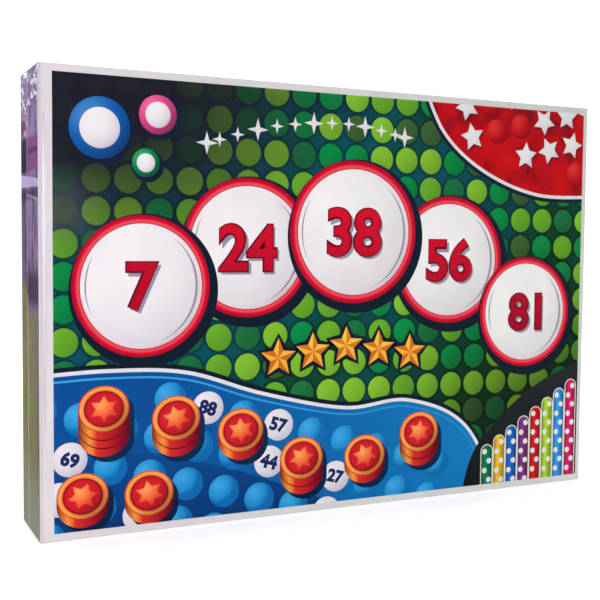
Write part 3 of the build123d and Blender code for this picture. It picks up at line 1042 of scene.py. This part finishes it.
def cardFinish(slot, colour):
    # printed card: its colour, darker in soft clouds, a pale round space in each field and a white edge
    finish = Finish(slot + "Print")
    place = finish.point()
    x, z = axes(place)[::2]
    across, along = x - cardMiddle.x, z - cardMiddle.z
    a = pingPong(abs(across), cards["linePitch"] / 2)
    b = pingPong(abs(along), cards["columnPitch"] / 2)
    reach = root(a * a + b * b)
    space = clamp((cards["spot"] - reach) * 4.0)
    r, g, b = colour
    deep, full = ink(r * 0.78, g * 0.78, b * 0.78), ink(r, g, b)
    light = ink(r + (255 - r) * 0.25, g + (255 - g) * 0.25, b + (255 - b) * 0.25)
    cloud = noiseAt(place, 0.03, 2.0)
    field = mix(space, ramp(cloud, [(0.35, deep), (0.6, full)]), light)
    edge = finish.maths("MAXIMUM", abs(across) - cards["print"][0], abs(along) - cards["print"][1])
    return litho(finish, mix(clamp(edge * 5.0), field, paperWhite), 0.32)


def cardNumbers(dealer):
    # fifteen plain numbers: five in each line, every column filled from its own ten
    columns = [dealer.sample(range(max(10 * c, 1), 10 * c + 10 + (c == 8)), 3) for c in range(9)]
    while True:
        lines = [dealer.sample(range(9), 5) for _ in range(3)]
        if all(any(c in line for line in lines) for c in range(9)):
            return [(line, c, columns[c][line]) for line in range(3) for c in sorted(lines[line])]


cardLow, cardHigh = nodeBox("card_01")[:2]
cardMiddle = (cardLow + cardHigh) / 2
cardEdge = plainPaper("cardEdge", (176, 166, 148), (206, 198, 182), 0.8)
cardSpot = plainPaper("cardSpotInk", (232, 228, 232), (242, 239, 242), 0.32)
cardPrints = {slot: cardFinish(slot, colour) for slot, colour in cardColours.items()}
cardFigures = {slot: plainPaper(slot + "Figures", [c * 0.36 for c in colour], [c * 0.42 for c in colour],
                                0.32) for slot, colour in cardColours.items()}
dealer = random.Random(21)
for index in range(16):
    node = f"card_{index + 1:02d}"
    slot = cardOrder[index % 8]
    low, high, halfX, halfZ = nodeBox(node)
    thick = high.y - low.y
    place = onNode(low, high)
    body = Body()
    e = cards["edge"]
    rings = [[(u, v, rise) for u, v in roundedRing(halfX - inset, halfZ - inset, cards["corner"] - inset, 8)]
             for inset, rise in ((e, 0.0), (0.0, e), (0.0, thick - e), (e, thick))]
    body.loft(rings, slot=1, matrix=place)
    body.slots[-2:] = [0, 0]
    for line, column, value in cardNumbers(dealer):
        u, v = (line - 1) * cards["linePitch"], (column - 4) * cards["columnPitch"]
        body.prism(circle(u, v, cards["spot"], 26), thick - 0.05, thick + 0.015, 2, place)
        stamp(body, str(value), (u, v), cards["figure"], thick - 0.05, thick + 0.03, 3, math.radians(90),
              place, 2, 0.03)
    piece = body.make(f"playingCard{index + 1:02d}",
                      [cardPrints[slot], cardEdge, cardSpot, cardFigures[slot]])
    dress(piece, "box", slot, node)
print("cards")

# rules leaflet


def leafletFinish():
    # thin white paper with grey lines that stand for print
    finish = Finish("leafletPaper")
    place = finish.point()
    x, z = axes(place)[::2]
    line = pingPong(z, 2.0) > 1.25
    part = noiseAt(stretch(place, (0.35, 0.0, 0.5)), 1.0, 1.0) > 0.42
    margin = (x > 57.0) * (x < 121.0)
    colour = mix(line * part * margin * 0.55, ink(232, 230, 226), ink(120, 120, 126))
    return litho(finish, colour, 0.6)


dressNode("rules_leaflet", leafletFinish())

# formed insert

insert = {"sheet": 0.8, "deck": 45.9, "skirtDraft": 2.0, "wellDraft": 3.0, "topRound": 1.2, "skirtRound": 1.2,
          "footRound": 1.6, "channelDepth": 3.5, "channelRound": 1.0, "channelFoot": 0.8,
          "cardWellDepth": 26.9, "bagWellDepth": 24.6, "notch": 12.2, "channel": (0.3, 10.3),
          "cardWell": (40.5, 105.5), "bagWell": (13.6, 98.6), "corner": 4.0}  # mm, and drafts in degrees


def insertFinish():
    # white formed plastic: a soft gloss, greyer the deeper it lies below the deck, faint draw lines down the
    # walls
    finish = Finish("whitePlastic")
    place = finish.point()
    drawn = noiseAt(stretch(place, (0.7, 0.05, 0.7)), 1.0, 4.0, 0.6)
    cloud = noiseAt(place, 0.03, 3.0)
    deep = clamp((axes(place)[1] + 22.0) / 46.0)
    colour = mix(deep * 0.5, ramp(cloud, [(0.3, 232, 231, 228), (0.7, 242, 241, 239)]), ink(206, 206, 206))
    return finish.close(finish.coat(colour, 0.3 + (drawn - 0.5) * 0.15,
                                    {"Coat Weight": 0.15, "Normal": bump(drawn, 0.00006, 0.4)}))


def wellOutline(halfX, halfZ, centre, notch=0.0):
    # loops of one well for any growth, each with the same count of points
    def loop(grow):
        points = roundedRing(halfX + grow, halfZ + grow, insert["corner"] + grow, 6)
        if notch:  # a half round bite at the middle of both ends
            reach = math.sqrt((notch + grow) ** 2 - grow ** 2)
            start = math.asin(grow / (notch + grow))
            turns = [start + (math.pi - 2 * start) * i / 16 for i in range(17)]
            bite = [polar((0.0, halfZ), notch + grow, a) for a in turns]
            bite[0], bite[16] = (reach, bite[0][1]), (-reach, bite[16][1])
            upper = points[:7] + bite + points[7:14]
            points = upper + [(-u, -v) for u, v in upper]
        return [(u + centre[0], v + centre[1]) for u, v in points]
    return loop


def wellRings(loop, depth, draft, topRound, footRound):
    # from the middle of the floor up the wall and out on to the deck
    floor = insert["deck"] - depth
    slope = math.tan(math.radians(draft))
    turns = quarterTurns(5)
    lines = [(-footRound + footRound * math.sin(a), footRound - footRound * math.cos(a)) for a in turns]
    wall = (depth - topRound) * slope
    lines += [(wall + topRound - topRound * math.cos(a), depth - topRound + topRound * math.sin(a))
              for a in turns]
    return [[(u, v, floor + rise) for u, v in loop(grow)] for grow, rise in lines]


def buildInsert(finish):
    high, halfX, halfZ = nodeBox("insert_tray")[1:]
    wells = []
    for row in range(9):
        first = 10 * row + 1
        discLow, discHigh, discHalf = nodeBox(f"discs_{first:02d}_to_{first + 9:02d}")[:3]
        centre = ((discLow.x + discHigh.x) / 2, (discLow.z + discHigh.z) / 2 - midHeight)
        loop = wellOutline(discHalf + insert["channel"][0], insert["channel"][1], centre)
        wells.append(wellRings(loop, insert["channelDepth"], 0.0, insert["channelRound"],
                               insert["channelFoot"]))
    cardsLoop = wellOutline(*insert["cardWell"], (cardMiddle.x, 0.0), insert["notch"])
    shape = (insert["wellDraft"], insert["topRound"], insert["footRound"])
    wells.append(wellRings(cardsLoop, insert["cardWellDepth"], *shape))
    bagLow, bagHigh = nodeBox("draw_bag")[:2]
    bagLoop = wellOutline(*insert["bagWell"], ((bagLow.x + bagHigh.x) / 2, 0.0))
    wells.append(wellRings(bagLoop, insert["bagWellDepth"], *shape))
    slope = math.tan(math.radians(insert["skirtDraft"]))
    r = insert["skirtRound"]
    skirtLines = [(0.0, 0.0)] + [(r - r * math.cos(a) + (insert["deck"] - r) * slope,
                                  insert["deck"] - r + r * math.sin(a))
                                 for a in quarterTurns(5)]
    skirt = [[(u, v, rise) for u, v in roundedRing(halfX - inset, halfZ - inset, 5.0 - min(inset, 2.0), 8)]
             for inset, rise in skirtLines]
    body = Body()
    place = facing("front", high.y)
    body.loft(skirt, matrix=place, caps=(False, False))
    for rings in wells:
        body.loft(rings, matrix=place, caps=(True, False))
    # the deck, a flat sheet with a hole for each well
    edges = [[Vector(p) for p in skirt[-1]]] + [[Vector(p) for p in rings[-1]][::-1] for rings in wells]
    flat = [p for edge in edges for p in edge]
    triangles = geometry.tessellate_polygon(edges)
    body.add(flat, [list(t) for t in triangles], matrix=place)
    mesh = body.make("insertTray", [finish])
    work = bmesh.new()
    work.from_mesh(mesh.data)
    bmesh.ops.remove_doubles(work, verts=work.verts[:], dist=0.00001)
    bmesh.ops.recalc_face_normals(work, faces=work.faces[:])
    work.normal_update()
    deckFace = max(work.faces, key=lambda face: -face.calc_center_median().y)
    if deckFace.normal.y > 0:  # the deck looks to the front
        bmesh.ops.reverse_faces(work, faces=work.faces[:])
    work.to_mesh(mesh.data)
    work.free()
    wall = mesh.modifiers.new("wall", "SOLIDIFY")
    wall.thickness = insert["sheet"] * mm
    wall.offset = -1.0
    wall.use_even_offset = True
    dress(mesh, "box", "white_plastic", "insert_tray")


buildInsert(insertFinish())
print("insert")

# rolled draw bag

bag = {"layer": 1.72, "cloth": 1.25, "core": 1.6, "turnSteps": 36, "length": 196.0, "lengthSteps": 56,
       "crease": 0.45, "end": 238.0, "stitch": 3.2, "thread": 0.28}


def cottonFinish():
    # plain woven cotton: threads across and along, read from the cloth's own map
    finish = Finish("navyCotton")
    flat = finish.node("ShaderNodeUVMap", {"uv_map": "cloth"})
    u, v = axes(flat)[:2]
    across = pingPong(u, 0.35) / 0.35
    along = pingPong(v, 0.35) / 0.35
    turn = pingPong(u + v, 0.7) > 0.35
    weave = across * turn + along * (1 - turn)
    fuzz = noiseAt(stretch(flat, (1.2, 0.4, 1.0)), 1.0, 5.0, 0.7)
    colour = ramp(weave * 0.45 + fuzz * 0.55, [(0.25, 22, 30, 66), (0.5, 36, 48, 96), (0.8, 62, 76, 126)])
    return finish.close(finish.coat(colour, 0.92,
                                    {"Sheen Weight": 0.3, "Normal": bump(weave + fuzz * 0.5, 0.00022, 0.7)}))


def stitchLayout():
    # a row of stitches: threads set along the piece's own line and laid down its length
    layout = Layout("stitchRow", {"Pitch": "Float", "Length": "Float", "Radius": "Float"})
    given = layout.given
    line = layout.node("GeometryNodeMeshToCurve", None, {"Mesh": given["Geometry"]})
    points = layout.node("GeometryNodeCurveToPoints", {"mode": "LENGTH"},
                         {"Curve": line, "Length": given["Pitch"]})
    thread = layout.node("GeometryNodeMeshIcoSphere", None, {"Subdivisions": 2, "Radius": given["Radius"]})
    size = layout.vector(1.0, 1.0, given["Length"] * 0.5 / given["Radius"])
    rotation = Wire(layout, points.socket.node.outputs["Rotation"])
    layout.close(points, {"Instance": thread, "Rotation": rotation, "Scale": size})
    return layout


def buildBag(finish):
    low, high, halfX = nodeBox("draw_bag")[:3]
    halfY = (high.y - low.y) / 2
    middle = (low + high) / 2
    outer = halfY - bag["cloth"] / 2 - bag["crease"]
    wide = (halfX - bag["cloth"] / 2 - bag["crease"]) / outer
    steps = int((outer - bag["core"]) / bag["layer"] * bag["turnSteps"])
    step = math.tau / bag["turnSteps"]
    radii = [bag["core"] + bag["layer"] * i / bag["turnSteps"] for i in range(steps + 1)]
    angles = [math.radians(bag["end"]) - step * (steps - i) for i in range(steps + 1)]
    lengths = [0.0]
    for radius in radii[1:]:
        lengths.append(lengths[-1] + step * radius * (1 + wide) / 2)

    def cloth(i, z, lift=0.0):
        # a place on the spiral, wrinkled alike in all its turns so that they don't touch
        angle, share = angles[i], radii[i] / outer
        crease = noise.noise(Vector((math.cos(angle) * 1.3, math.sin(angle) * 1.3 + z * 0.012, z * 0.045)))
        fine = noise.noise(Vector((math.cos(angle) * 2.6 + z * 0.05, math.sin(angle) * 2.6, z * 0.11 + 9)))
        swell = bag["crease"] * share * max(-1.0, min(1.0, 1.5 * crease + 0.7 * fine))
        ragged = 1.0 + noise.noise(Vector((angle * 0.5, radii[i], 3.0)))
        drawn = z - math.copysign(ragged * (abs(z) / bag["length"] * 2) ** 6, z)
        reach = radii[i] + swell + lift
        return (middle.x + wide * reach * math.cos(angle), middle.y + reach * math.sin(angle),
                middle.z + drawn)

    rows = [bag["length"] * (k / bag["lengthSteps"] - 0.5) for k in range(bag["lengthSteps"] + 1)]
    points = [cloth(i, z) for z in rows for i in range(steps + 1)]
    flat = [(lengths[i], z) for z in rows for i in range(steps + 1)]
    count = steps + 1
    faces = [(k * count + i, k * count + i + 1, (k + 1) * count + i + 1, (k + 1) * count + i)
             for k in range(bag["lengthSteps"]) for i in range(steps)]
    mesh = bpy.data.meshes.new("rolledBag")
    mesh.from_pydata([Vector(p) * mm for p in points], [], faces)
    layer = mesh.uv_layers.new(name="cloth")
    for loop in mesh.loops:
        layer.data[loop.index].uv = flat[loop.vertex_index]
    mesh.materials.append(finish)
    mesh.polygons.foreach_set("use_smooth", [True] * len(mesh.polygons))
    roll = addPiece("rolledBag", mesh)
    thick = roll.modifiers.new("cloth", "SOLIDIFY")
    thick.thickness, thick.offset = bag["cloth"] * mm, 0.0
    dress(roll, "box", "cotton", "draw_bag")
    lengths[-1] * mm
    print("bag's cloth", bag["length"], "mm by", round(lengths[-1]), "mm")

    # the hem's stitches, two steps in from the cloth's free edge
    hem = bpy.data.meshes.new("hemSource")
    places = [Vector(cloth(steps - 2, z, bag["cloth"] / 2)) * mm for z in rows[1:-1]]
    hem.from_pydata(places, [(i, i + 1) for i in range(len(places) - 1)], [])
    thread = plainPaper("threadCotton", (70, 86, 140), (92, 108, 160), 0.8)
    body = Body()
    body.take(stitchLayout().plainMesh(addPiece("hemSource", hem), {
        "Pitch": bag["stitch"] * mm, "Length": bag["stitch"] * 0.62 * mm, "Radius": bag["thread"] * mm,
        "Finish": thread}))
    dress(body.make("bagHemStitches", [thread]), "box", "cotton")


buildBag(cottonFinish())

# shrink film

film = {"thick": 0.025, "fold": 0.9, "corner": 0.9, "spread": 26.0, "crease": 0.14, "backEdge": 25.4,
        "runs": (170, 170, 110, 110), "cornerSteps": 6, "sideSteps": 30,
        "foldReach": (6.0, 62.0), "crumple": (66.0, 112.0)}  # mm, and counts; runs as top, left, foot, right


def filmFinish():
    # clear film, glossier at a slant, with glints where it is crumpled at the upper left, and a few painted
    # glints as tiny bright dots on the front
    finish = Finish("shrinkFilm")
    place = finish.point()
    x, y, z = axes(place)
    left = clamp((-186.6 - x) * 3.0)
    high = clamp((z - 208.0) / 30.0)
    veil = noiseAt(stretch(place, (0.2, 0.1, 0.03)), 1.0, 3.0)
    fold = noiseAt(stretch(place, (0.2, 0.13, 0.24)), 1.0, 4.0, 0.68)
    crest = clamp(1.7 - abs(fold - 0.5) * 34.0)
    patch = clamp((noiseAt(stretch(place, (0.2, 0.07, 0.2)), 1.0, 1.0) - 0.44) * 7.0)
    near = clamp(1.3 - abs(y - 8.0) / 6.0) * (z > 224.0)
    glint = crest * patch * left * clamp(clamp((z - 237.0) / 5.0) + near)
    seam = clamp(1.0 - abs(y - 5.6) * 1.2) * (abs(x) > 187.0)
    front = y < -26.4
    gleam = clamp(1.0 - abs(x + 184.5) * 0.9) * front
    gleam = gleam * clamp((236.0 - z) / 24.0) * clamp((z - 50.0) / 110.0)
    far = root((x + 176.0) * (x + 176.0) + (z - 182.0) * (z - 182.0))
    mist = clamp(1.5 - far / 20.0) * front
    # painted glints: tiny bright dots on the front, near its upper left
    glintSpeck = clamp((noiseAt(place, 1.2, 2.0) - 0.67) * 12.0)
    glintSpeck = glintSpeck * clamp(1.7 - far / 10.0) * front
    haze = left * (high * 0.03 + veil * 0.03) + seam * 0.3 + glint * 0.95
    haze = haze + gleam * 0.6 + glintSpeck * 0.5 + mist * 0.012
    cloud = ramp(veil, [(0.4, 136, 108, 168), (0.6, 182, 124, 164)])
    colour = mix(clamp(glint * 1.6 + gleam * 2.0 + seam + glintSpeck + mist), cloud, ink(248, 247, 255))
    wrinkle = bump(fold * (left * high + 0.12) + veil * 0.1, 0.0006, 0.6)
    clear = finish.node("ShaderNodeBsdfTransparent", None, {"Color": (0.985, 0.985, 0.99, 1.0)})
    sheet = finish.coat(colour, 0.12, {"Specular IOR Level": 0.6, "Normal": wrinkle})
    slant = finish.node("ShaderNodeLayerWeight", None, {"Blend": 0.5}, "Facing")
    share = clamp(haze + slant * slant * slant * slant * 0.02)
    return finish.close(finish.node("ShaderNodeMixShader", None, {0: share, 1: clear, 2: sheet}))


def smoothStep(low, high, value):
    t = max(0.0, min(1.0, (value - low) / (high - low)))
    return t * t * (3 - 2 * t)


def ridge(a, b, seed):
    # sharp-crested folds, from 0 to 1
    return 1.0 - min(1.0, 2.6 * abs(noise.noise(Vector((a, b, seed)))))


def creaseDepth(x, y, z, outward):
    # how far the film is pulled in between its folds, on a side of the box
    along, half = (z - midHeight, midHeight) if abs(outward[0]) > abs(outward[1]) else (x, midWidth)
    fromEnd = half - abs(along)
    edge = smoothStep(0.0, 3.0, y + frontReach) * smoothStep(0.0, 2.5, fromEnd)
    folds = 0.0
    for corner in (-frontReach, film["backEdge"]):  # folds run out from both corners of each end
        reach = math.hypot(fromEnd, y - corner)
        angle = math.atan2(abs(y - corner), fromEnd + 0.01)
        fade = 1.0 - smoothStep(*film["foldReach"], reach)
        folds += fade * (1.0 - ridge(angle * 5.5, reach * 0.03 + (7 if along > 0 else 0), corner + half))
    long = 1.0 - ridge(y * 0.16, along * 0.014, half)
    crumple = 0.0
    if outward[0] < -0.5 and along > 60:  # the crumpled upper left
        crumple = smoothStep(*film["crumple"], along)
        crumple *= 1.0 - ridge(y * 0.16 + along * 0.05, along * 0.14, 5.0)
    return edge * min(1.0, 0.55 * folds + 0.35 * long + 0.9 * crumple) * film["crease"]


def buildFilm(finish):
    low, high, halfX, halfZ = nodeBox("film_front")
    depth = high.y - low.y
    spread, fold = film["spread"], film["fold"]
    outer = [(i, 0.0) for i in (spread, spread * 0.7, spread * 0.42, spread * 0.2, 2.4)]
    outer += [(fold - fold * math.sin(a), fold - fold * math.cos(a)) for a in quarterTurns(6)]
    steps = film["sideSteps"]
    outer += [(0.0, fold + (depth - fold) * i / steps) for i in range(1, steps + 1)]
    rings = []
    for shift, lines in ((0.0, outer), (film["thick"], outer[::-1])):
        for inset, down in lines:
            down = max(down, shift)
            inset = max(inset, shift)
            corner = max(film["corner"] - inset, 0.3)
            ring = []
            flatRing = roundedRing(halfX - inset, halfZ - inset, corner, film["cornerSteps"], film["runs"])
            for i, (u, v) in enumerate(flatRing):
                before, after = flatRing[i - 1], flatRing[(i + 1) % len(flatRing)]
                out = Vector((after[1] - before[1], before[0] - after[0])).normalized()
                if down > 0.5 * fold:
                    pull = creaseDepth(u, low.y + down, v + midHeight, out)
                    u, v = u - out.x * pull, v - out.y * pull
                ring.append((u, v, -down))
            rings.append(ring)
    sheet = Body()
    sheet.loft(rings, matrix=facing("front", low.y))
    dress(sheet.make("filmFront", [finish]), "lid", "shrink_film", "film_front")


clearFilm = filmFinish()
buildFilm(clearFilm)
backHigh, backX, backZ = nodeBox("film_back")[1:]
backSheet = Body()
backSheet.prism(roundedRing(backX, backZ, 0.8, 6), -film["thick"], 0.0, matrix=facing("back", backHigh.y))
dress(backSheet.make("filmBack", [clearFilm]), "box", "shrink_film", "film_back")
print("film")

# floor, light and camera

studio = {"flat": 2.2, "bend": 0.8, "wall": 1.4, "glow": 0.35, "sky": 0.4}  # metres, and strengths
lamps = {"softboxLeft": ((-1.2, -1.3, 1.5), (0, 0, 0.13), (1.4, 1.0), 12),
         "softboxRight": ((1.5, -1.2, 1.2), (0, 0, 0.13), (1.0, 1.0), 7),
         "softboxTop": ((0.1, 0.5, 1.9), (0, 0, 0.1), (1.6, 1.2), 20)}  # place, target, size; metres, watts


def buildStudio():
    # a round pale sweep: floor, bend and low wall
    body = Body()
    flat, bend = studio["flat"] / mm, studio["bend"] / mm
    lines = [(flat, 0.0)]
    lines += [(flat + bend * math.sin(a), bend - bend * math.cos(a)) for a in quarterTurns(9)[1:]]
    lines += [(flat + bend, studio["wall"] / mm)]
    around = [math.tau * i / 96 for i in range(96)]
    rings = [[(r * math.cos(a), r * math.sin(a), z) for a in around] for r, z in lines]
    body.loft(rings, caps=(True, False))
    finish = Finish("studioPaper")
    cloud = noiseAt(finish.point(), 0.002, 2.0)
    colour = ramp(cloud, [(0.3, (0.91, 0.91, 0.91, 1)), (0.7, (0.93, 0.93, 0.93, 1))])
    paper = finish.coat(colour, 0.9, {"Emission Color": (1, 1, 1, 1), "Emission Strength": studio["glow"]})
    sweep = body.make("studioSweep", [finish.close(paper)])


def areaLight(name, place, target, size, power):
    data = bpy.data.lights.new(name, "AREA")
    data.shape, data.energy = "RECTANGLE", power
    data.size, data.size_y = size
    lamp = addPiece(name, data)
    lamp.location = place
    lamp.rotation_euler = (Vector(target) - Vector(place)).to_track_quat("-Z", "Y").to_euler()


view = {"place": (-0.28826, -0.56508, 0.16487), "azimuth": 25.4359, "tilt": 3.2781, "roll": 0.5113,
        "lens": 59.3173}  # fitted to the photo: metres, degrees and mm


def buildCamera():
    azimuth, tilt, roll = (math.radians(view[k]) for k in ("azimuth", "tilt", "roll"))
    ahead = Vector((math.sin(azimuth) * math.cos(tilt), math.cos(azimuth) * math.cos(tilt), -math.sin(tilt)))
    side = ahead.cross(Vector((0, 0, 1))).normalized()
    above = side.cross(ahead)
    right = side * math.cos(roll) + above * math.sin(roll)
    up = above * math.cos(roll) - side * math.sin(roll)
    data = bpy.data.cameras.new("camera")
    data.lens, data.sensor_width, data.sensor_fit = view["lens"], 36.0, "HORIZONTAL"
    data.clip_start, data.clip_end = 0.01, 20.0
    camera = addPiece("camera", data)
    camera.matrix_world = Matrix((
        (right.x, up.x, -ahead.x, view["place"][0]), (right.y, up.y, -ahead.y, view["place"][1]),
        (right.z, up.z, -ahead.z, view["place"][2]), (0, 0, 0, 1)))
    scene.camera = camera


buildStudio()
world = bpy.data.worlds.new("studioWorld")
world.use_nodes = True
sky = world.node_tree.nodes["Background"].inputs
sky["Color"].default_value, sky["Strength"].default_value = (1.0, 1.0, 1.0, 1.0), studio["sky"]
scene.world = world
scene.view_settings.view_transform = "Standard"
for name, lamp in lamps.items():
    areaLight(name, *lamp)
buildCamera()
print("studio")
